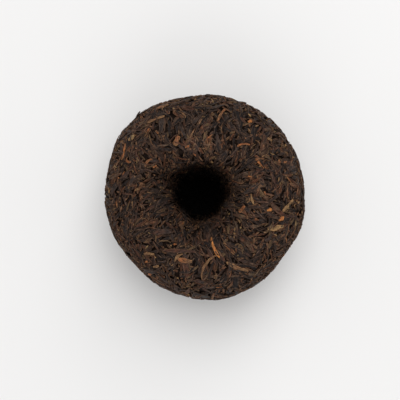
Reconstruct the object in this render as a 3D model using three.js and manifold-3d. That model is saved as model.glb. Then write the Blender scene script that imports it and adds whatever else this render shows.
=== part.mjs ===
// A tuocha: pu-erh tea that is steamed in a cloth bag and pressed into a small, thick nest.
// It lies on its dome with the hollow up. The leaves near the hollow run into it, drawn in by the knot
// of the cloth, and elsewhere they lie in swirls. The largest stand out of the pressed surface as flat
// strips, the rest are its bumps, and all are one solid.
// Millimetres, +Z up along the hollow's axis, origin at the middle of the flat foot.
import * as THREE from "three";
import { mergeVertices } from "three/addons/utils/BufferGeometryUtils.js";
import Module from "manifold-3d";

// Driving dimensions of the nest.
const BELT_RADIUS = 40.4; // its widest circle
const BELT_HEIGHT = 26;
const FOOT_RADIUS = 8; // the flat spot on the dome
const RIM_HEIGHT = 43;
const CREST_RADIUS = 25; // the circle along the top of the rim
const THROAT_RADIUS = 11.2; // where the hollow's wall is upright
const THROAT_HEIGHT = 34;
const PIT_HEIGHT = 17; // the hollow's floor
const HOLLOW_OFFSET = new THREE.Vector3(-1.8, 0.4, 0); // the knot sat a little to one side

// The leaves. The largest are fused on, and those between them are bumps of the cake's own skin.
const FUSED_LEAVES = 62;
const BUMP_LEAVES = 420;
const LEAF_LENGTH = [7, 13];
const LEAF_WIDTH = [1.9, 3.0];
const LEAF_RISE = [0.55, 1.0];
const LEAF_ROOT = 1.2; // how deep a leaf's underside sits in the cake
const LEAF_TIP = 0.45; // a tip's width, as a share of the leaf's
const LEAF_SPANS = 4; // an even number
const BUMP_WIDTH = 4.2;
const BUMP_RISE = 0.6;

const SAME_POINT = 1e-3; // vertices closer than this are one

// How finely the cake is faceted.
const SECTORS = 72;
const STATIONS = 36;
const FINE_STATIONS = 600;

const degrees = THREE.MathUtils.degToRad;
const lerp = THREE.MathUtils.lerp;
const smoothstep = THREE.MathUtils.smoothstep;

// The nest's section, from the middle of the foot round the dome and over the rim to the pit's floor.
const section = new THREE.CurvePath();
section.add(new THREE.LineCurve(new THREE.Vector2(0, 0), new THREE.Vector2(FOOT_RADIUS, 0)));
const arc = (x, y, radiusX, radiusY, start, end, clockwise) =>
  section.add(new THREE.EllipseCurve(x, y, radiusX, radiusY, degrees(start), degrees(end), clockwise));
arc(FOOT_RADIUS, BELT_HEIGHT, BELT_RADIUS - FOOT_RADIUS, BELT_HEIGHT, -90, 0, false);
arc(CREST_RADIUS, BELT_HEIGHT, BELT_RADIUS - CREST_RADIUS, RIM_HEIGHT - BELT_HEIGHT, 0, 90, false);
arc(CREST_RADIUS, THROAT_HEIGHT, CREST_RADIUS - THROAT_RADIUS, RIM_HEIGHT - THROAT_HEIGHT, 90, 180, false);
arc(0, THROAT_HEIGHT, THROAT_RADIUS, THROAT_HEIGHT - PIT_HEIGHT, 0, -90, true);

const lengths = section.getCurveLengths();
const sectionLength = lengths.at(-1);
const [footEnd, beltStation, crestStation, throatStation] = lengths.map((l) => l / sectionLength);
const fine = section.getSpacedPoints(FINE_STATIONS);

// The section's point and outward normal at a station, which runs from 0 at the foot to 1 in the pit.
function sectionAt(station) {
  const at = THREE.MathUtils.clamp(station, 0, 1) * FINE_STATIONS;
  const i = Math.min(Math.floor(at), FINE_STATIONS - 1);
  const point = fine[i].clone().lerp(fine[i + 1], at - i);
  const along = fine[Math.min(i + 2, FINE_STATIONS)].clone().sub(fine[Math.max(i - 1, 0)]).normalize();
  return { point, normal: new THREE.Vector2(along.y, -along.x) };
}

function nearestStation(radius, height) {
  const gaps = fine.map((p) => (p.x - radius) ** 2 + (p.y - height) ** 2);
  return gaps.indexOf(Math.min(...gaps)) / FINE_STATIONS;
}

// Folds that the gathered cloth pressed into the hollow's lip: heading, depth and half-width.
const CLOTH_FOLDS = [
  [152, 2.1, 15],
  [33, 1.2, 9],
  [356, 1.1, 12],
  [262, 1.1, 13],
  [206, 0.8, 10],
  [308, 0.7, 9],
  [98, 0.6, 8],
];

// How far the pressed surface stands out of the true section, in millimetres.
function swell(angle, station) {
  const wave = (count, peak) => Math.cos(count * (angle - degrees(peak)));
  const lipless = 1 - smoothstep(station, crestStation, throatStation);
  const side = smoothstep(station, footEnd, beltStation) * lipless;
  const outline = 0.75 * wave(2, 112) + 0.5 * wave(3, 30) + 0.3 * wave(5, 348);
  const dents = 0.22 * Math.cos(7 * angle + 31 * station) + 0.2 * Math.cos(11 * angle - 47 * station);
  const lip =
    smoothstep(station, lerp(beltStation, crestStation, 0.7), throatStation) *
    (1 - smoothstep(station, lerp(throatStation, 1, 0.3), 0.97));
  const folds = CLOTH_FOLDS.map(([heading, depth, halfWidth]) => {
    const away = Math.acos(Math.min(1, wave(1, heading))) / degrees(halfWidth);
    return depth * Math.exp(-away * away);
  }).reduce((sum, depth) => sum + depth, 0);
  return side * (outline + dents) - lip * (folds + 0.7 * wave(3, 30));
}

// The point of the cake's surface at a heading and station, lifted off it by some millimetres.
function onCake(angle, station, lift) {
  const { point, normal } = sectionAt(station);
  const out = swell(angle, station) + lift;
  const radius = point.x + normal.x * out;
  const drawn = smoothstep(station, beltStation, throatStation);
  return new THREE.Vector3(radius * Math.cos(angle), radius * Math.sin(angle), point.y + normal.y * out)
    .addScaledVector(HOLLOW_OFFSET, drawn);
}

// The nearest heading and station to a point of space, on the true section.
function footprint(p) {
  return { angle: Math.atan2(p.y, p.x), station: nearestStation(Math.hypot(p.x, p.y), p.z) };
}

// The true section's point at a footprint, with its normal.
function onSection({ angle, station }) {
  const { point, normal } = sectionAt(station);
  const turned = (v) => new THREE.Vector3(v.x * Math.cos(angle), v.x * Math.sin(angle), v.y);
  return { point: turned(point), normal: turned(normal) };
}

// A number from 0 to 1 that looks random but is the same at each run.
const chance = (i, draw) => {
  const x = Math.sin(i * 12.9898 + draw * 78.233) * 43758.5453;
  return x - Math.floor(x);
};

// The way that the leaves lie, as an angle from the section's own direction: into the hollow near it,
// round the cake at the belt, and in swirls between.
const BELTED_REACH = 0.09; // in stations, to each side of the belt
function lay(angle, station) {
  const swirl = 1.5 * Math.sin(3 * angle + 17 * station) + 1.1 * Math.cos(5 * angle - 26 * station);
  const fullyDrawn = lerp(crestStation, throatStation, 0.5);
  const drawn = smoothstep(station, lerp(beltStation, crestStation, 0.5), fullyDrawn);
  const belted = Math.exp(-(((station - beltStation) / BELTED_REACH) ** 2));
  return (1 - drawn) * (belted * degrees(90) + (1 - 0.6 * belted) * swirl);
}

// Share of the surface that lies below each fine station, for an even spread of leaves.
const shares = [0];
for (let i = 1; i <= FINE_STATIONS; i += 1) shares.push(shares[i - 1] + fine[i].x);
const stationOfShare = (share) =>
  shares.findIndex((below) => below >= share * shares.at(-1)) / FINE_STATIONS;

// The spread leaves follow a sunflower's spiral from the edge of the foot into the hollow.
const GOLDEN_ANGLE = Math.PI * (3 - Math.sqrt(5));
const CLEAR_OF_FOOT = 0.025;
const CLEAR_OF_PIT = 0.955;
function spreadLeaf(i, count) {
  const share = lerp(CLEAR_OF_FOOT, CLEAR_OF_PIT, (i + 0.5) / count);
  const place = { angle: i * GOLDEN_ANGLE, station: stationOfShare(share) };
  return {
    place,
    heading: lay(place.angle, place.station) + degrees(50) * (chance(i, 1) - 0.5),
    length: lerp(...LEAF_LENGTH, chance(i, 2)),
    width: lerp(...LEAF_WIDTH, chance(i, 3)),
    rise: lerp(...LEAF_RISE, chance(i, 4)),
    bend: degrees(9) * (chance(i, 5) - 0.5),
  };
}

// The leaves that stand out most, seen from above: x, y and compass heading of the middle, length,
// width, rise, and bend in degrees for each millimetre.
const PLACED_LEAVES = [
  [4.2, -22.4, -70, 8.2, 1.2, 0.8, 5],
  [-10.5, -22.6, -4, 13.6, 1.7, 0.8, -1],
  [12.6, -28.0, -28, 9.4, 1.5, 0.8, 2],
  [30.0, -12.3, 15, 7.0, 2.4, 0.7, 0],
  [-20.6, 31.6, 16, 8.6, 1.8, 0.7, -2],
  [-33.6, 18.6, 84, 7.2, 1.9, 0.7, 2],
  [-23.2, 14.6, 40, 5.6, 1.4, 0.7, -9],
  [6.9, 33.6, 62, 6.6, 1.5, 0.7, 3],
  [15.9, 21.2, 14, 5.8, 1.2, 0.7, -12],
  [23.6, 13.2, -42, 6.2, 1.4, 0.8, 2],
  [32.6, 15.0, 14, 5.2, 2.1, 0.7, 0],
  [1.6, -31.6, 62, 8.4, 1.5, 0.7, -6],
  [-12.6, 22.2, 78, 4.4, 2.9, 0.6, 0],
];

function placedLeaf([x, y, compass, length, width, rise, bend]) {
  const radius = Math.hypot(x, y);
  const upper = fine.map((p, i) => ({ gap: Math.abs(p.x - radius), station: i / FINE_STATIONS }))
    .filter(({ station }) => station >= beltStation && station <= throatStation);
  const place = {
    angle: Math.atan2(y, x),
    station: upper.reduce((best, next) => (next.gap < best.gap ? next : best)).station,
  };
  // From above, the section runs inwards here, which is half a turn from the outward way.
  const heading = degrees(compass) - place.angle - Math.PI;
  return { place, heading, length, width, rise, bend: degrees(bend) };
}

// Where the middle of a leaf lies on the section, and the way it points there.
function middleOf({ place, heading }) {
  const middle = onSection(place);
  const round = new THREE.Vector3(-Math.sin(place.angle), Math.cos(place.angle), 0);
  const inward = new THREE.Vector3().crossVectors(round, middle.normal).negate();
  const way = inward.multiplyScalar(Math.cos(heading)).addScaledVector(round, -Math.sin(heading));
  return { ...middle, way };
}

// The middle line of a leaf, walked over the section in even steps: points, normals and forwards.
function walk(leaf) {
  const start = middleOf(leaf);
  const { way } = start;
  const { length, bend } = leaf;
  const step = length / LEAF_SPANS;
  const half = (sense) => {
    const found = [];
    let here = { ...start, way: way.clone().multiplyScalar(sense) };
    for (let i = 0; i < LEAF_SPANS / 2; i += 1) {
      const next = onSection(footprint(here.point.clone().addScaledVector(here.way, step)));
      next.way = here.way.clone().projectOnPlane(next.normal).normalize()
        .applyAxisAngle(next.normal, sense * bend * step);
      found.push(next);
      here = next;
    }
    return found;
  };
  const back = half(-1).map((s) => ({ ...s, way: s.way.clone().negate() }));
  return [...back.reverse(), start, ...half(1)];
}

// A leaf: a bar whose rings are set along the walk, narrow at both tips, with its flat top above the
// surface and its root inside the cake.
function leafGeometry(leaf) {
  const stops = walk(leaf);
  const bar = new THREE.BoxGeometry(1, 1, 1, 1, LEAF_SPANS, 1);
  bar.deleteAttribute("normal");
  bar.deleteAttribute("uv");
  const position = bar.getAttribute("position");
  for (let i = 0; i < position.count; i += 1) {
    const span = Math.round((position.getY(i) + 0.5) * LEAF_SPANS);
    const stop = stops[span];
    const fullness = lerp(LEAF_TIP, 1, Math.sin((Math.PI * span) / LEAF_SPANS));
    const side = new THREE.Vector3().crossVectors(stop.way, stop.normal);
    const spot = stop.point.clone().addScaledVector(side, leaf.width * position.getX(i) * fullness);
    const { angle, station } = footprint(spot);
    const lift = position.getZ(i) > 0 ? leaf.rise * fullness : -LEAF_ROOT;
    position.setXYZ(i, ...onCake(angle, station, lift));
  }
  return bar;
}

// The bumps: how far the highest of the smaller leaves lifts the skin at a place of the section.
const bumpLeaves = Array.from({ length: BUMP_LEAVES }, (_, i) => {
  const leaf = spreadLeaf(i, BUMP_LEAVES);
  const middle = middleOf(leaf);
  const side = new THREE.Vector3().crossVectors(middle.way, middle.normal);
  return { ...middle, side, length: leaf.length };
});
function bump(place) {
  const { point } = onSection(place);
  const lifts = bumpLeaves.map((leaf) => {
    const reach = point.clone().sub(leaf.point);
    const along = reach.dot(leaf.way) / (0.5 * leaf.length);
    const across = reach.dot(leaf.side) / (0.5 * BUMP_WIDTH);
    const inside = Math.abs(along) < 1 && Math.abs(across) < 1 && reach.length() < leaf.length;
    return inside ? BUMP_RISE * (1 - across ** 2) * (1 - along ** 4) : 0;
  });
  return Math.max(...lifts) - 0.5 * BUMP_RISE;
}

// The cake: the section turned round its axis, with every vertex set on the uneven surface.
function cakeGeometry() {
  const lathe = new THREE.LatheGeometry(section.getSpacedPoints(STATIONS), SECTORS);
  lathe.deleteAttribute("normal");
  lathe.deleteAttribute("uv");
  const position = lathe.getAttribute("position");
  const onAxis = (j) => j === 0 || j === STATIONS;
  for (let i = 0; i <= SECTORS; i += 1) {
    for (let j = 0; j <= STATIONS; j += 1) {
      const angle = onAxis(j) ? 0 : ((i % SECTORS) * 2 * Math.PI) / SECTORS;
      const station = j / STATIONS;
      const lift = station > footEnd ? bump({ angle, station }) : 0;
      position.setXYZ(i * (STATIONS + 1) + j, ...onCake(angle, station, lift));
    }
  }
  return lathe;
}

const wasm = await Module();
wasm.setup();

// A closed geometry as a solid that can be joined and cut.
function solid(geometry) {
  const merged = mergeVertices(geometry, SAME_POINT);
  const mesh = new wasm.Mesh({
    numProp: 3,
    vertProperties: merged.getAttribute("position").array,
    triVerts: new Uint32Array(merged.index.array),
  });
  return new wasm.Manifold(mesh);
}

// Everything below the foot's plane is cut away, so that the cake rests on one flat spot.
function belowFoot() {
  const size = 4 * BELT_RADIUS;
  const block = new THREE.BoxGeometry(size, size, size).translate(0, 0, -size / 2);
  block.deleteAttribute("normal");
  block.deleteAttribute("uv");
  return solid(block);
}

const leaves = [
  ...PLACED_LEAVES.map(placedLeaf),
  ...Array.from({ length: FUSED_LEAVES }, (_, i) => spreadLeaf(i, FUSED_LEAVES)),
];
const joined = leaves
  .reduce((whole, leaf) => whole.add(solid(leafGeometry(leaf))), solid(cakeGeometry()))
  .subtract(belowFoot());

function geometryOf(made) {
  const { vertProperties, triVerts } = made.getMesh();
  return new THREE.BufferGeometry()
    .setAttribute("position", new THREE.BufferAttribute(vertProperties, 3))
    .setIndex(new THREE.BufferAttribute(triVerts, 1));
}

// The outer skin alone, so that a gap shut in under crossing leaves is filled.
function outerSkin(made) {
  const skins = solid(geometryOf(made)).decompose();
  const outer = skins.reduce((most, skin) => (skin.volume() > most.volume() ? skin : most));
  return skins.length > 1 ? outerSkin(outer) : outer;
}

const geometry = geometryOf(outerSkin(joined));
geometry.computeVertexNormals();

const pressedLeaf = new THREE.MeshStandardMaterial({ color: 0x3a2e27, roughness: 0.75, metalness: 0 });
const tuocha = new THREE.Mesh(geometry, pressedLeaf);
tuocha.name = "tuocha";

const part = new THREE.Group();
part.add(tuocha);
export default part;
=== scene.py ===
from math import cos, pi, radians, sin, sqrt

import bmesh
import bpy
import numpy as np
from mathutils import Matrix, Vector


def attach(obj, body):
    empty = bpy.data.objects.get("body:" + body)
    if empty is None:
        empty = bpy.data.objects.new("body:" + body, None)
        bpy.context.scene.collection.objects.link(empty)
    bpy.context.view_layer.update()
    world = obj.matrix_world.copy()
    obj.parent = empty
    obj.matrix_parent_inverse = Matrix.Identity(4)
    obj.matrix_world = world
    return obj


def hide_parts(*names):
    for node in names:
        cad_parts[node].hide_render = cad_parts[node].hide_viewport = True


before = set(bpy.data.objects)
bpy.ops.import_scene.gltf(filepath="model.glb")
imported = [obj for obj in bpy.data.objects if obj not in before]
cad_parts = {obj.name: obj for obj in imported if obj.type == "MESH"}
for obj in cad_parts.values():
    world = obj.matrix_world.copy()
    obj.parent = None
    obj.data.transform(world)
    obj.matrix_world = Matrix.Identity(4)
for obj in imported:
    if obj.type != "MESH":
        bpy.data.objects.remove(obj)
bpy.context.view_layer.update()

# --- The view ---------------------------------------------------------------------------------
# The cake lies on its dome with the hollow up, and is looked at from almost straight above, because
# that is the side that was shown. The lens is long, as for a small thing on a table.
MM = 0.001
VIEW_ELEVATION = radians(84)
VIEW_WIDTH = 160 * MM
LENS = 90
SENSOR = 36
VIEW_CENTRE = Vector((-1.9, -2.4, 30)) * MM

scene = bpy.context.scene
camera = bpy.data.objects.new("camera", bpy.data.cameras.new("camera"))
scene.collection.objects.link(camera)
scene.camera = camera
camera.data.lens = LENS
camera.data.sensor_width = SENSOR
camera.rotation_euler = (pi / 2 - VIEW_ELEVATION, 0, 0)
towards_camera = Vector((0, -cos(VIEW_ELEVATION), sin(VIEW_ELEVATION)))
camera.location = VIEW_CENTRE + towards_camera * VIEW_WIDTH * LENS / SENSOR

# --- The pressed core -------------------------------------------------------------------------
# Steamed leaves pressed in a cloth bag into one hard nest: a dome, a broad ring of a rim, and the pit
# that the bag's knot left. Broken leaf fills the gaps under the whole leaves, and is nearly black.
BELT_RADIUS = 40.4 * MM  # the widest circle
BELT_HEIGHT = 26 * MM
FOOT_RADIUS = 8 * MM  # the flat spot on the dome
RIM_HEIGHT = 43 * MM
CREST_RADIUS = 25 * MM  # the circle along the top of the rim
THROAT_RADIUS = 11.2 * MM  # where the hollow's wall is upright
THROAT_HEIGHT = 34 * MM
PIT_HEIGHT = 17 * MM
HOLLOW_OFFSET = np.array((-1.8, 0.4)) * MM  # the knot sat a little to one side
CORE_DEPTH = 0.75 * MM  # how far the core lies under the leaves' faces
CORE_RELIEF = 0.22 * MM
# Folds of the gathered cloth in the hollow's lip: heading, depth in millimetres, and half-width.
CLOTH_FOLDS = ((152, 2.1, 15), (33, 1.2, 9), (356, 1.1, 12), (262, 1.1, 13), (206, 0.8, 10),
               (308, 0.7, 9), (98, 0.6, 8))
FOLDS_START = 0.7  # as a share of the way from the belt to the crest
FOLDS_FADE = 0.3  # as a share of the way from the throat to the middle of the pit's floor
FOLDS_END = 0.97  # as a station
# Slow waves of the outline and the lip: height in millimetres, number round the cake, heading of a crest.
OUTLINE_WAVES = ((0.75, 2, 112), (0.5, 3, 30), (0.3, 5, 348))
LIP_WAVE = (0.7, 3, 30)
# Dents: depth in millimetres, number round the cake, and lean along the section.
DENTS = ((0.22, 7, 31), (0.2, 11, -47))
STRETCH_POINTS = 400
STATION_COUNT = 601
RING_STRIDE = 5  # the core has a ring at every fifth station
CORE_STEPS = 240
DUST = ((0.35, (16, 11, 9)), (0.62, (34, 25, 20)), (0.78, (58, 42, 32)))
BLACK = (0, 0, 0, 1)
# The hollow's darkness is painted: x and y of its axis, and the radii where it is whole and where it
# ends, in millimetres. No tone is painted below the first height, and all of it is above the second.
HOLLOW_SHADE = (-1.8, 0.7, 8.8, 13)
TONED_HEIGHTS = (8 * MM, 12 * MM)
HOLLOW_DARKNESS = 0.97


def quarter(centre, radii, start, end):
    """Points of a quarter ellipse of the section."""
    turn = np.radians(np.linspace(start, end, STRETCH_POINTS))
    return np.column_stack((centre[0] + radii[0] * np.cos(turn), centre[1] + radii[1] * np.sin(turn)))


stretches = [
    np.linspace((0, 0), (FOOT_RADIUS, 0), STRETCH_POINTS),
    quarter((FOOT_RADIUS, BELT_HEIGHT), (BELT_RADIUS - FOOT_RADIUS, BELT_HEIGHT), -90, 0),
    quarter((CREST_RADIUS, BELT_HEIGHT), (BELT_RADIUS - CREST_RADIUS, RIM_HEIGHT - BELT_HEIGHT), 0, 90),
    quarter((CREST_RADIUS, THROAT_HEIGHT),
            (CREST_RADIUS - THROAT_RADIUS, RIM_HEIGHT - THROAT_HEIGHT), 90, 180),
    quarter((0, THROAT_HEIGHT), (THROAT_RADIUS, THROAT_HEIGHT - PIT_HEIGHT), 0, -90),
]
section = np.vstack(stretches)
travelled = np.append(0, np.cumsum(np.linalg.norm(np.diff(section, axis=0), axis=1)))
SECTION_LENGTH = travelled[-1]
# A station is a share of the section, from 0 in the middle of the foot to 1 in the middle of the pit.
FOOT, BELT, CREST, THROAT = (travelled[STRETCH_POINTS * i - 1] / SECTION_LENGTH for i in (1, 2, 3, 4))
STATIONS = np.linspace(0, 1, STATION_COUNT)
fine = np.column_stack([np.interp(STATIONS * SECTION_LENGTH, travelled, section[:, i]) for i in (0, 1)])
forward = np.gradient(fine, axis=0)
forward /= np.linalg.norm(forward, axis=1)[:, None]


def at_station(station, column):
    return np.interp(station, STATIONS, column)


def smoothstep(x, low, high):
    share = np.clip((x - low) / (high - low), 0, 1)
    return share * share * (3 - 2 * share)


def swell(angle, station):
    """How far the pressed surface stands out of the true section."""
    def wave(height, count, crest):
        return height * np.cos(count * (angle - radians(crest)))
    side = smoothstep(station, FOOT, BELT) * (1 - smoothstep(station, CREST, THROAT))
    outline = sum(wave(*row) for row in OUTLINE_WAVES)
    dents = sum(depth * np.cos(count * angle + lean * station) for depth, count, lean in DENTS)
    start = BELT + FOLDS_START * (CREST - BELT)
    fade = THROAT + FOLDS_FADE * (1 - THROAT)
    lip = smoothstep(station, start, THROAT) * (1 - smoothstep(station, fade, FOLDS_END))
    folds = wave(*LIP_WAVE)
    for heading, depth, half_width in CLOTH_FOLDS:
        away = np.arccos(np.clip(wave(1, 1, heading), -1, 1)) / radians(half_width)
        folds = folds + depth * np.exp(-away * away)
    return (side * (outline + dents) - lip * folds) * MM


def on_cake(angle, station, lift):
    """Points of the cake's surface at headings and stations, lifted off it. None is under the floor."""
    out = swell(angle, station) + lift
    radius = at_station(station, fine[:, 0]) + at_station(station, forward[:, 1]) * out
    height = at_station(station, fine[:, 1]) - at_station(station, forward[:, 0]) * out
    drawn = smoothstep(station, BELT, THROAT)
    x = radius * np.cos(angle) + HOLLOW_OFFSET[0] * drawn
    y = radius * np.sin(angle) + HOLLOW_OFFSET[1] * drawn
    return np.stack((x, y, np.maximum(height, 0)), axis=-1)


def linear(red, green, blue):
    """A colour as a colour chip gives it, from 0 to 255, as the linear light that shaders take."""
    chip = (np.array((red, green, blue)) / 255).tolist()
    return tuple(c / 12.92 if c < 0.04 else ((c + 0.055) / 1.055) ** 2.4 for c in chip) + (1,)


class Wire:
    """A node's output, on which Python's arithmetic adds Math nodes."""

    def __init__(self, finish, socket):
        self.finish = finish
        self.socket = socket

    def maths(self, operation, first, second):
        return self.finish.add("ShaderNodeMath", {"operation": operation}, {0: first, 1: second})

    def __add__(self, other):
        return self.maths("ADD", self, other)

    def __sub__(self, other):
        return self.maths("SUBTRACT", self, other)

    def __rsub__(self, other):
        return self.maths("SUBTRACT", other, self)

    def __mul__(self, other):
        return self.maths("MULTIPLY", self, other)

    __radd__ = __add__
    __rmul__ = __mul__


class Finish:
    """A material, whose nodes are all added by one method."""

    def __init__(self, name):
        self.material = bpy.data.materials.new(name)
        self.material.use_nodes = True
        self.tree = self.material.node_tree
        self.shader = self.tree.nodes["Principled BSDF"]

    def put(self, socket, value):
        if isinstance(value, Wire):
            self.tree.links.new(value.socket, socket)
        else:
            socket.default_value = value

    def add(self, kind, settings={}, sockets={}, output=0):
        node = self.tree.nodes.new(kind)
        for name, value in settings.items():
            if name == "stops":
                ramp = node.color_ramp.elements
                while len(ramp) < len(value):
                    ramp.new(1)
                for stop, (place, chip) in zip(ramp, value):
                    stop.position = place
                    stop.color = linear(*chip)
            else:
                setattr(node, name, value)
        for key, value in sockets.items():
            self.put(node.inputs[key], value)
        return Wire(self, node.outputs[output])

    def blend(self, mode, share, first, second):
        return self.add("ShaderNodeMix", {"data_type": "RGBA", "blend_type": mode},
                        {0: share, 6: first, 7: second}, output=2)

    def remap(self, value, source, result, interpolation="LINEAR"):
        """The value, taken from one range to another and held at the ends."""
        sockets = {0: value, 1: source[0], 2: source[1], 3: result[0], 4: result[1]}
        return self.add("ShaderNodeMapRange", {"interpolation_type": interpolation}, sockets)

    def spot(self, place, x, y, whole, none):
        """A mask of 1 near an upright axis, 0 beyond it, and 0 near the foot. Sizes are in millimetres."""
        centred = {"Vector": place, "Location": (-x * MM, -y * MM, 0), "Scale": (1, 1, 0)}
        flat = self.add("ShaderNodeMapping", sockets=centred)
        distance = self.add("ShaderNodeVectorMath", {"operation": "LENGTH"}, {0: flat}, output=1)
        near = self.remap(distance, (whole * MM, none * MM), (1, 0), "SMOOTHSTEP")
        height = self.add("ShaderNodeSeparateXYZ", {}, {0: place}, output=2)
        return near * self.remap(height, TONED_HEIGHTS, (0, 1))

    def surface(self, **sockets):
        for name, value in sockets.items():
            self.put(self.shader.inputs[name.replace("_", " ").title()], value)
        return self.material


def pressed_dust_and_hollow_shade():
    finish = Finish("pressed_dust_and_hollow_shade")
    place = finish.add("ShaderNodeTexCoord", output=3)
    specks = finish.add("ShaderNodeTexNoise", sockets={"Vector": place, "Scale": 900, "Detail": 4})
    colour = finish.add("ShaderNodeValToRGB", {"stops": DUST}, {0: specks})
    # Painted shade: the core turns nearly black in the hollow.
    colour = finish.blend("MIX", finish.spot(place, *HOLLOW_SHADE) * HOLLOW_DARKNESS, colour, BLACK)
    grit = finish.add("ShaderNodeBump", sockets={"Strength": 0.8, "Distance": 0.4 * MM, "Height": specks})
    finish.shader.inputs["Specular IOR Level"].default_value = 0.04
    return finish.surface(base_color=colour, roughness=specks * 0.1 + 0.75, normal=grit)


def finished(name, mesh, material):
    """A piece of the cake, which stands for its solid."""
    piece = bpy.data.objects.new(name, mesh)
    scene.collection.objects.link(piece)
    mesh.materials.append(material)
    mesh.polygons.foreach_set("use_smooth", np.ones(len(mesh.polygons), dtype=bool))
    mesh.update()
    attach(piece, "root")
    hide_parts("tuocha")


def core_mesh():
    """The section spun round, with two sets of crossed ripples and the cake's own swell."""
    shape = bmesh.new()
    coarse = fine[::RING_STRIDE]
    rings = [shape.verts.new((x, 0, z)) for x, z in coarse.tolist()]
    profile = [shape.edges.new(pair) for pair in zip(rings, rings[1:])]
    bmesh.ops.spin(shape, geom=rings + profile, cent=(0, 0, 0), axis=(0, 0, 1), angle=2 * pi,
                   steps=CORE_STEPS, use_merge=True)
    bmesh.ops.remove_doubles(shape, verts=shape.verts, dist=0.01 * MM)
    points = np.array([v.co for v in shape.verts])
    angle = np.arctan2(points[:, 1], points[:, 0])
    outward = np.hypot(points[:, 0], points[:, 1])[:, None] - coarse[:, 0]
    upward = points[:, 2:] - coarse[:, 1]
    station = (outward ** 2 + upward ** 2).argmin(axis=1) / (len(coarse) - 1)
    relief = np.cos(23 * angle + 90 * station) + np.cos(31 * angle - 140 * station) * np.cos(210 * station)
    placed = on_cake(angle, station, CORE_RELIEF * relief - CORE_DEPTH)
    for vertex, place in zip(shape.verts, placed.tolist()):
        vertex.co = place
    bmesh.ops.recalc_face_normals(shape, faces=shape.faces)
    mesh = bpy.data.meshes.new("core")
    shape.to_mesh(mesh)
    return mesh


finished("core", core_mesh(), pressed_dust_and_hollow_shade())

# --- The leaves -------------------------------------------------------------------------------
# Large-leaf tea, withered, rolled into strips and pressed flat while soft. The leaves run into the
# hollow near it, lie round the cake at its belt, and lie in swirls between, several layers deep.
LEAF_SPANS = 6
# A rolled leaf's section, as shares of its half-width and half-thickness: a crease between two folds.
LEAF_CORNERS = np.array([(0, 0.25), (0.58, 1), (1, 0.1), (0.55, -1), (-0.55, -1), (-1, 0.1), (-0.6, 0.95)])
PRESSED_RISE = 0.38 * MM  # how far a turned-up edge can stand off its own leaf
FREE_LIFT = 0.25 * MM  # the height to which the press leaves things alone
MOST_LIFT = 0.55 * MM  # how much higher a leaf can reach, unless it has sprung up
POLE_RADIUS = 2.5 * MM  # nearer the axis than this, a leaf turns as if it lay here
LINE_ENDS = (0.002, 0.998)  # the stations between which a leaf's middle line stays
BELT_BAND = 0.09  # how far from the belt leaves still lie round the cake, as a share of the section
MAP_LENGTH = 10 * MM  # the length of leaf that takes up one unit of its own map
SKIN = (0.004, 0.985)  # the shares of the cake's area between which leaves are strewn
# Painted shade where the face is darker, and a lighter patch where the last number is below 0: x and
# y of an upright axis, the radii where the tone is whole and where it ends, in millimetres, and its
# strength.
SPOTS = (
    # painted shade in the hollow
    (*HOLLOW_SHADE, 0.94),
    (-2.6, -3.4, 11, 22, 0.4),  # painted shade on the hollow's lip
    (-17, 3.5, 2, 10, 0.3),  # painted shade in a groove
    (-1, 17, 2, 12, -0.45),  # a lighter patch on the +Y side of the hollow
)
# The colours of the leaves by their shade, and of their worn edges.
DARK = ((0.0, (21, 17, 16)), (0.3, (38, 32, 30)), (0.45, (52, 36, 27)), (0.6, (53, 46, 43)),
        (0.78, (74, 46, 34)), (1.0, (80, 68, 54)))
DARK_WORN = (98, 76, 62)
BROWN = ((0.0, (46, 32, 25)), (0.3, (82, 50, 34)), (0.5, (72, 57, 43)), (0.65, (90, 71, 50)),
         (0.8, (92, 56, 40)), (1.0, (110, 88, 68)))
BROWN_WORN = (122, 92, 68)
chance = np.random.default_rng(8)


def lay(angle, station):
    """The way that the leaves lie, as an angle from the section's own direction."""
    swirl = 1.5 * np.sin(3 * angle + 17 * station) + 1.1 * np.cos(5 * angle - 26 * station)
    drawn = smoothstep(station, BELT + 0.5 * (CREST - BELT), CREST + 0.5 * (THROAT - CREST))
    belted = np.exp(-((station - BELT) / BELT_BAND) ** 2)
    return (1 - drawn) * (belted * pi / 2 + (1 - 0.6 * belted) * swirl)


def bar(sides, spans):
    """A bar of unit size as arrays: the ring and corner of each vertex, and its faces' corners."""
    shape = bmesh.new()
    bmesh.ops.create_cone(shape, cap_ends=True, segments=sides, radius1=1, radius2=1, depth=1)
    long_edges = [e for e in shape.edges if abs(e.verts[0].co.z - e.verts[1].co.z) > 0.5]
    bmesh.ops.subdivide_edges(shape, edges=long_edges, cuts=spans - 1)
    points = np.array([v.co for v in shape.verts])
    ring = np.rint((points[:, 2] + 0.5) * spans).astype(int)
    corner = np.rint(np.arctan2(points[:, 1], points[:, 0]) / (2 * pi) * sides).astype(int) % sides
    faces = [[v.index for v in face.verts] for face in shape.faces]
    return ring, corner, faces


def walked(leaf, spans):
    """Angle, station and heading at each ring of the leaves, walked both ways from their middles."""
    middle = spans // 2
    step = leaf["length"] / spans
    rings = np.zeros((3, len(step), spans + 1))
    for sense in (-1, 1):
        angle, station, heading = leaf["angle"], leaf["station"], leaf["heading"]
        rings[:, :, middle] = angle, station, heading
        for i in range(1, middle + 1):
            radius = np.maximum(at_station(station, fine[:, 0]), POLE_RADIUS)
            slope = at_station(station, forward[:, 0])
            crook = leaf["crook"] * np.sin(2 * sense * i + 40 * leaf["shade"])
            turn = leaf["bend"] + crook - np.sin(heading) * slope / radius
            angle = angle - sense * np.sin(heading) * step / radius
            station = np.clip(station + sense * np.cos(heading) * step / SECTION_LENGTH, *LINE_ENDS)
            heading = heading + sense * step * turn
            rings[:, :, middle + sense * i] = angle, station, heading
    return rings


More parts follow.
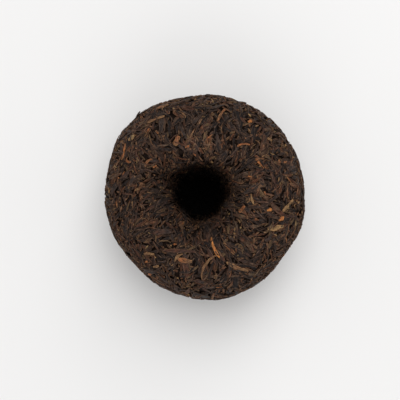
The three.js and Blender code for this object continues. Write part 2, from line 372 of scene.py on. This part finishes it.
def laid(leaf, ring, corner, spans):
    """The vertices of one bar for each leaf, set on the cake."""
    angle, station, heading = (rows[:, ring] for rows in walked(leaf, spans))
    column = {name: values[:, None] for name, values in leaf.items()}
    along = 2 * ring / spans - 1
    fullness = column["tip"] + (1 - column["tip"]) * (1 - np.abs(along) ** column["bluntness"])
    fullness = fullness * (1 + 0.22 * np.sin(4 * along + 50 * column["shade"]))
    flat = 0.5 * column["width"] * fullness * LEAF_CORNERS[corner, 0]
    up = 0.5 * column["thickness"] * np.sqrt(fullness) * LEAF_CORNERS[corner, 1]
    turn = column["turn"] + 0.5 * column["twist"] * along
    across = flat * np.cos(turn) - up * np.sin(turn)
    rise = flat * np.sin(turn) + up * np.cos(turn)
    rise = PRESSED_RISE * np.tanh(rise / PRESSED_RISE)
    lift = column["lift"] + column["tilt"] * along + column["arch"] * (1 - along ** 2) + rise
    pressed = FREE_LIFT + MOST_LIFT * np.tanh((lift - FREE_LIFT) / MOST_LIFT)
    lift = np.where(lift > FREE_LIFT, pressed, lift) + column["sprung"] * (1 + along) / 2
    radius = np.maximum(at_station(station, fine[:, 0]), POLE_RADIUS)
    angle = angle + np.cos(heading) * across / radius
    station = np.clip(station + np.sin(heading) * across / SECTION_LENGTH, 0, 1)
    return on_cake(angle, station, lift)


def joined(name, leaf, spans):
    """One mesh of all the leaves of a kind, with each leaf's shade and its own map of length and girth."""
    ring, corner, faces = bar(len(LEAF_CORNERS), spans)
    points = laid(leaf, ring, corner, spans)
    count = len(points)
    sizes = np.tile([len(face) for face in faces], count)
    order = np.concatenate(faces)
    vertex = (order[None, :] + len(ring) * np.arange(count)[:, None]).ravel()
    mesh = bpy.data.meshes.new(name)
    mesh.vertices.add(count * len(ring))
    mesh.vertices.foreach_set("co", points.ravel())
    mesh.loops.add(len(vertex))
    mesh.loops.foreach_set("vertex_index", vertex)
    mesh.polygons.add(len(sizes))
    mesh.polygons.foreach_set("loop_start", np.append(0, np.cumsum(sizes)[:-1]))
    mesh.update(calc_edges=True)
    shade = mesh.attributes.new("shade", "FLOAT", "POINT")
    shade.data.foreach_set("value", np.repeat(leaf["shade"], len(ring)).astype(np.float32))
    rubbed = np.maximum(np.abs(LEAF_CORNERS[corner, 0]), np.abs(2 * ring / spans - 1) ** 4)
    edge = mesh.attributes.new("edge", "FLOAT", "POINT")
    edge.data.foreach_set("value", np.tile(rubbed, count).astype(np.float32))
    # The shade, which is each leaf's own, also shifts its map, so that no two have the same veins.
    lengthwise = leaf["length"][:, None] * ring[order] / spans / MAP_LENGTH + 7 * leaf["shade"][:, None]
    girth = np.tile(LEAF_CORNERS[corner[order], 0], (count, 1)) + 31 * leaf["shade"][:, None]
    mapped = mesh.uv_layers.new(name="leaf")
    mapped.data.foreach_set("uv", np.stack((lengthwise, girth), axis=-1).ravel())
    mesh.validate()
    return mesh


below = np.append(0, np.cumsum(fine[1:, 0]))
below /= below[-1]


def scattered(count, length, width, thickness, lift, stray=30, turn=22, twist=35, shades=(0, 1)):
    """Leaves strewn evenly over the skin. Sizes are ranges in millimetres, and angles are in degrees."""
    def between(pair):
        return chance.uniform(*pair, count)
    angle = between((-pi, pi))
    station = np.interp(between(SKIN), below, STATIONS)
    heading = lay(angle, station) + radians(stray) * chance.standard_normal(count)
    return {
        "angle": angle,
        "station": station,
        "heading": heading + pi * (chance.random(count) > 0.5),
        "length": between(length) * MM,
        "width": between(width) * MM,
        "thickness": between(thickness) * MM,
        "lift": between(lift) * MM,
        "tilt": between((-0.5, 0.5)) * MM,
        "arch": between((-0.15, 0.3)) * MM,
        "bend": radians(1) * chance.normal(0, 6, count) / MM,
        "crook": radians(1) * chance.normal(0, 9, count) / MM,
        "turn": radians(turn) * chance.standard_normal(count),
        "twist": radians(twist) * chance.standard_normal(count),
        "sprung": np.zeros(count),
        "tip": between((0.12, 0.5)),
        "bluntness": between((1.6, 5)),
        "shade": between(shades),
    }


def layer(name, material, leaf, spans=LEAF_SPANS):
    """One piece of all the leaves of a kind."""
    finished(name, joined(name, leaf, spans), material)


def leaf_skin(name, stops, worn):
    """A dried leaf: its own shade, worn edges, veins along it, dull patches, painted shade and a lighter
    patch.
    """
    finish = Finish(name)
    shade = finish.add("ShaderNodeAttribute", {"attribute_name": "shade"}, output=2)
    edge = finish.add("ShaderNodeAttribute", {"attribute_name": "edge"}, output=2)
    mapped = finish.add("ShaderNodeUVMap", {"uv_map": "leaf"})
    place = finish.add("ShaderNodeTexCoord", output=3)
    stretched = finish.add("ShaderNodeMapping", sockets={"Vector": mapped, "Scale": (3, 0.95, 1)})
    veins = finish.add("ShaderNodeTexNoise", sockets={
        "Vector": stretched, "Scale": 2.2, "Detail": 5, "Roughness": 0.65})
    patches = finish.add("ShaderNodeTexNoise", sockets={"Vector": place, "Scale": 260, "Detail": 3})
    grains = finish.add("ShaderNodeTexNoise", sockets={"Vector": place, "Scale": 2600, "Detail": 2})
    own = finish.add("ShaderNodeValToRGB", {"stops": stops}, {0: shade * 0.8 + patches * 0.6 - 0.2})
    rubbing = finish.remap(edge * veins, (0.28, 0.62), (0, 0.75))
    edged = finish.blend("MIX", rubbing, own, linear(*worn))
    light = finish.remap(veins, (0.32, 0.68), (0.18, 1.6))
    specks = finish.remap(grains, (0.3, 0.75), (0.75, 1.3))
    tone = light * specks
    # Painted shade in the hollow, on its lip and in a groove, and a lighter patch on the +Y side of the
    # hollow.
    for x, y, whole, none, strength in SPOTS:
        tone = tone * (1 - strength * finish.spot(place, x, y, whole, none))
    grey = finish.add("ShaderNodeCombineColor", {}, {0: tone, 1: tone, 2: tone})
    colour = finish.blend("MULTIPLY", 1, edged, grey)
    ridges = finish.add("ShaderNodeBump", sockets={"Strength": 0.85, "Distance": 0.2 * MM, "Height": veins})
    relief = finish.add("ShaderNodeBump", sockets={
        "Strength": 0.5, "Distance": 0.08 * MM, "Height": grains, "Normal": ridges})
    finish.shader.inputs["Specular IOR Level"].default_value = 0.08
    return finish.surface(base_color=colour, roughness=veins * 0.25 + 0.42, normal=relief)


dark_leaf = leaf_skin("dark_leaf", DARK, DARK_WORN)
brown_leaf = leaf_skin("brown_leaf", BROWN, BROWN_WORN)
layer("under_leaves", dark_leaf, scattered(
    2000, length=(3.5, 8), width=(0.9, 2.0), thickness=(0.5, 0.9), lift=(-0.65, -0.25), shades=(0, 0.35)))
layer("dark_leaves", dark_leaf, scattered(
    2000, length=(3, 8.5), width=(0.6, 1.6), thickness=(0.5, 0.95), lift=(-0.35, 0.2)))
layer("brown_leaves", brown_leaf, scattered(
    1300, length=(2.2, 6.5), width=(0.45, 1.3), thickness=(0.45, 0.85), lift=(-0.35, 0.2)))
layer("twists", dark_leaf, scattered(
    2000, length=(2.5, 7), width=(0.3, 0.8), thickness=(0.45, 0.85), lift=(-0.2, 0.3),
    stray=36, turn=60, twist=110))
layer("crumbs", brown_leaf, scattered(
    2600, length=(0.7, 2.2), width=(0.5, 1.3), thickness=(0.5, 0.9), lift=(-0.35, 0.3),
    stray=80, turn=50, twist=60), spans=2)

# --- The fused leaves ---------------------------------------------------------------------------
# The largest leaves, which stand out of the pressed face as flat strips, where the solid has them.
# They follow a sunflower's spiral from the foot's edge into the hollow.
GOLDEN_ANGLE = pi * (3 - sqrt(5))
FUSED_LEAVES = 62
CLEAR_OF_FOOT = 0.025
CLEAR_OF_PIT = 0.955
# The least of each size in millimetres, and how much more it can be.
FUSED_LENGTH = (7, 6)
FUSED_WIDTH = (1.9, 1.1)
FUSED_RISE = (0.55, 0.45)
RISE_TO_THICKNESS = 1.6
FUSED_STRAY = radians(50)
FUSED_BEND = radians(9)
FUSED_TIP = 0.4
LONG_SPANS = 12


def drawn_lot(i, draw, least=0, more=1):
    """The solid's own rule for a number that looks random, between the least and so much more."""
    x = np.sin(i * 12.9898 + draw * 78.233) * 43758.5453
    return least + more * (x - np.floor(x))


def fused():
    """The sizes and places that are set here take the place of those that were drawn."""
    i = np.arange(FUSED_LEAVES)
    share = CLEAR_OF_FOOT + (CLEAR_OF_PIT - CLEAR_OF_FOOT) * (i + 0.5) / FUSED_LEAVES
    leaf = scattered(FUSED_LEAVES, (1, 1), (1, 1), (1, 1), (-0.1, 0), turn=5, twist=8, shades=(0, 0.9))
    leaf["angle"] = i * GOLDEN_ANGLE
    leaf["station"] = np.interp(share, below, STATIONS)
    leaf["heading"] = lay(leaf["angle"], leaf["station"]) + FUSED_STRAY * (drawn_lot(i, 1) - 0.5)
    leaf["length"] = drawn_lot(i, 2, *FUSED_LENGTH) * MM
    leaf["width"] = drawn_lot(i, 3, *FUSED_WIDTH) * MM
    leaf["thickness"] = drawn_lot(i, 4, *FUSED_RISE) * RISE_TO_THICKNESS * MM
    leaf["bend"] = FUSED_BEND * (drawn_lot(i, 5) - 0.5) / MM
    leaf["tip"] = np.full(FUSED_LEAVES, FUSED_TIP)
    return leaf


layer("fused_leaves", dark_leaf, fused(), LONG_SPANS)

# --- The bright leaves and stalks ---------------------------------------------------------------
# Buds, stalks and old leaves took less colour in the pile: orange-brown, tan or olive. They are pressed
# in with the rest. The ones that the eye finds first are placed one by one, with six dark ones that
# stand out as much. One of these, a nearly black thin strip, is painted shade along a crack. Hundreds of
# small bits are strewn.
BRIGHT = ((0.0, (194, 126, 66)), (0.22, (132, 78, 47)), (0.4, (106, 78, 56)), (0.7, (136, 106, 72)),
          (1.0, (124, 108, 76)))
BRIGHT_WORN = (156, 116, 78)
AIMS = 5
DARK_RISE = 0.15 * MM  # how much higher the dark ones lie
# The flakes past the belt are thick, and have sprung off the outline at one end.
FLAKE_THICKNESS = 1.4 * MM
FLAKE_SPRING = 0.8 * MM
PLACED_TIP = 0.5

# x, y and heading of the middle seen from above, length, width, bend in degrees a millimetre, and
# shade. A heading is counted from +X towards +Y. The shade of a dark one is below 0.
PLACED = np.array([
    (3.5, -22.5, -70, 8.2, 1.1, 6, 0.0), (12.3, -29.6, -24, 9.0, 1.4, 2, 0.45),
    (27.4, -14.3, 10, 6.6, 2.1, 0, 0.8), (-19.2, 28.2, 17, 7.4, 1.5, -2, 0.47),
    (-31.7, 15.9, 84, 7.4, 1.5, 4, 0.18), (-30.0, 11.3, -30, 3.6, 0.8, 50, 0.15),
    (-28.7, 20.9, 20, 3.0, 2.2, 0, 0.9), (-22.4, 11.0, 52, 5.6, 1.0, -24, 0.3),
    (6.3, 30.0, 64, 6.4, 1.0, -5, 0.2), (14.9, 18.1, 8, 5.0, 0.9, -16, 0.1),
    (21.6, 10.4, -42, 5.6, 0.9, 3, 0.08), (21.4, 12.5, 4, 3.4, 0.8, -8, 0.3),
    (30.4, 11.9, 12, 4.0, 1.9, 0, 0.25), (17.7, 27.4, 30, 1.9, 1.4, 0, 0.0),
    (25.4, 20.4, -20, 2.2, 1.1, 0, 0.6), (-11.0, 19.4, 70, 4.0, 2.2, 0, 0.33),
    (-6.8, 17.3, 10, 1.8, 1.0, 0, 0.0), (-19.6, 9.6, 20, 1.8, 1.0, 0, 0.1),
    (-17.3, 1.0, 85, 2.0, 0.9, 0, 0.6), (24.9, -7.6, 20, 2.0, 1.2, 0, 0.0),
    (14.4, -7.3, 50, 3.4, 1.3, 4, 0.2), (29.7, -10.8, 40, 2.6, 1.5, 0, 0.15),
    (-7.8, -27.2, -10, 5.6, 1.7, 3, 0.3), (0.6, -28.2, 50, 13.0, 0.8, -8, 0.42),
    (-9.8, -23.6, -3, 13.2, 1.3, -1, -0.8), (-21.6, -31.9, 50, 2.6, 1.3, 0, 0.1),
    (-21.6, -24.2, 2, 4.8, 1.1, -6, 0.45), (9.3, -22.6, -45, 5.4, 1.3, 0, 0.35),
    (-37.7, 1.1, 85, 2.8, 1.0, 0, 0.7), (-10.4, -25.6, 38, 4.4, 1.0, -14, 0.55),
    # the second row here is a nearly black thin strip, painted shade along a crack
    (17.9, -14.1, 5, 6.0, 1.2, 0, -1.0), (15.5, 9.4, 38, 10.8, 0.9, 0, -0.01),
    (15.3, 37.6, -20, 3.2, 2.2, 0, -0.4), (-26.3, 31.1, 50, 2.8, 1.6, 0, -0.4),
    (32.4, -5.6, 42, 7.0, 1.4, 0, 0.7), (24.6, -4.6, 36, 7.5, 1.5, 0, -0.3),
    (18.4, -3.4, -75, 4.5, 0.8, 6, 0.65), (-16.7, 33.9, 20, 5.0, 2.6, 0, 0.4),
    (-8.7, 30.7, -55, 5.2, 0.8, 0, 0.4), (-18.9, -29.1, 18, 2.9, 0.9, 0, 0.5),
    (-22.7, -27.3, 30, 1.4, 1.0, 0, 0.1),
])


def placed(rows):
    """The leaves of the rows. What is set here takes the place of what was drawn."""
    x, y, facing, length, width, bend, shade = rows.T
    count = len(rows)
    upper = (STATIONS > BELT) & (STATIONS < THROAT)
    wanted = np.column_stack((x, y)) * MM
    target = wanted
    for _ in range(AIMS):  # the swell and the hollow's offset move a place, so it is aimed at again
        nearest = np.abs(fine[upper, 0][None, :] - np.hypot(*target.T)[:, None]).argmin(axis=1)
        angle = np.arctan2(target[:, 1], target[:, 0])
        target = target + wanted - on_cake(angle, STATIONS[upper][nearest], 0)[:, :2]
    flake = np.hypot(*wanted.T) > BELT_RADIUS
    leaf = scattered(count, (1, 1), (1, 1), (0.5, 0.7), (0.18, 0.36), turn=6, twist=10)
    leaf["lift"] = leaf["lift"] + np.where(shade < 0, DARK_RISE, 0)
    leaf["thickness"] = np.where(flake, FLAKE_THICKNESS, leaf["thickness"])
    leaf["sprung"] = np.where(flake, FLAKE_SPRING, 0)
    leaf["angle"] = angle
    leaf["station"] = STATIONS[upper][nearest]
    # From above, the section runs inwards here, which is half a turn from the outward heading.
    leaf["heading"] = np.radians(facing) - angle - pi
    leaf["length"] = length * MM
    leaf["width"] = width * MM
    leaf["bend"] = np.radians(bend) / MM
    leaf["crook"] = np.zeros(count)
    leaf["tilt"] = np.zeros(count)
    leaf["tip"] = np.full(count, PLACED_TIP)
    leaf["shade"] = np.abs(shade)
    return leaf


bright_leaf = leaf_skin("bright_leaf", BRIGHT, BRIGHT_WORN)
layer("placed_dark", dark_leaf, placed(PLACED[PLACED[:, -1] < 0]), LONG_SPANS)
layer("placed_bright", bright_leaf, placed(PLACED[PLACED[:, -1] >= 0]), LONG_SPANS)
layer("bright_bits", bright_leaf, scattered(
    420, length=(0.7, 3.2), width=(0.35, 0.9), thickness=(0.35, 0.6), lift=(-0.15, 0.15),
    stray=50, shades=(0.1, 1)))

# --- The floor and the light --------------------------------------------------------------------
# A plain pale table, and soft light from large square lamps and a white room. The key and the window
# stand beyond the top of the cake as it is seen, and the bounce fills its near side.
bpy.ops.mesh.primitive_plane_add(size=6, location=(0, 0, 0))
floor = bpy.context.object
floor.name = "floor"
paper = Finish("paper")
floor.data.materials.append(paper.surface(base_color=(0.8, 0.795, 0.79, 1), roughness=0.9))


def softbox(name, azimuth, elevation, distance, size, watts):
    """A square lamp that looks at the cake. Its azimuth is counted from +X towards +Y, in degrees."""
    lamp = bpy.data.objects.new(name, bpy.data.lights.new(name, "AREA"))
    scene.collection.objects.link(lamp)
    lamp.data.size = size
    lamp.data.energy = watts
    around = radians(azimuth)
    up = radians(elevation)
    way = Vector((cos(around) * cos(up), sin(around) * cos(up), sin(up)))
    lamp.location = way * distance
    lamp.rotation_euler = way.to_track_quat("Z", "Y").to_euler()


softbox("key", azimuth=80, elevation=70, distance=0.9, size=0.7, watts=3.4)
softbox("window", azimuth=70, elevation=32, distance=0.9, size=0.5, watts=1.4)
softbox("bounce", azimuth=-90, elevation=28, distance=0.7, size=0.6, watts=1.5)
world = bpy.data.worlds.new("room")
scene.world = world
world.use_nodes = True
glow = world.node_tree.nodes["Background"]
glow.inputs["Color"].default_value = (1, 1, 1, 1)
glow.inputs["Strength"].default_value = 0.62
scene.view_settings.view_transform = "Standard"
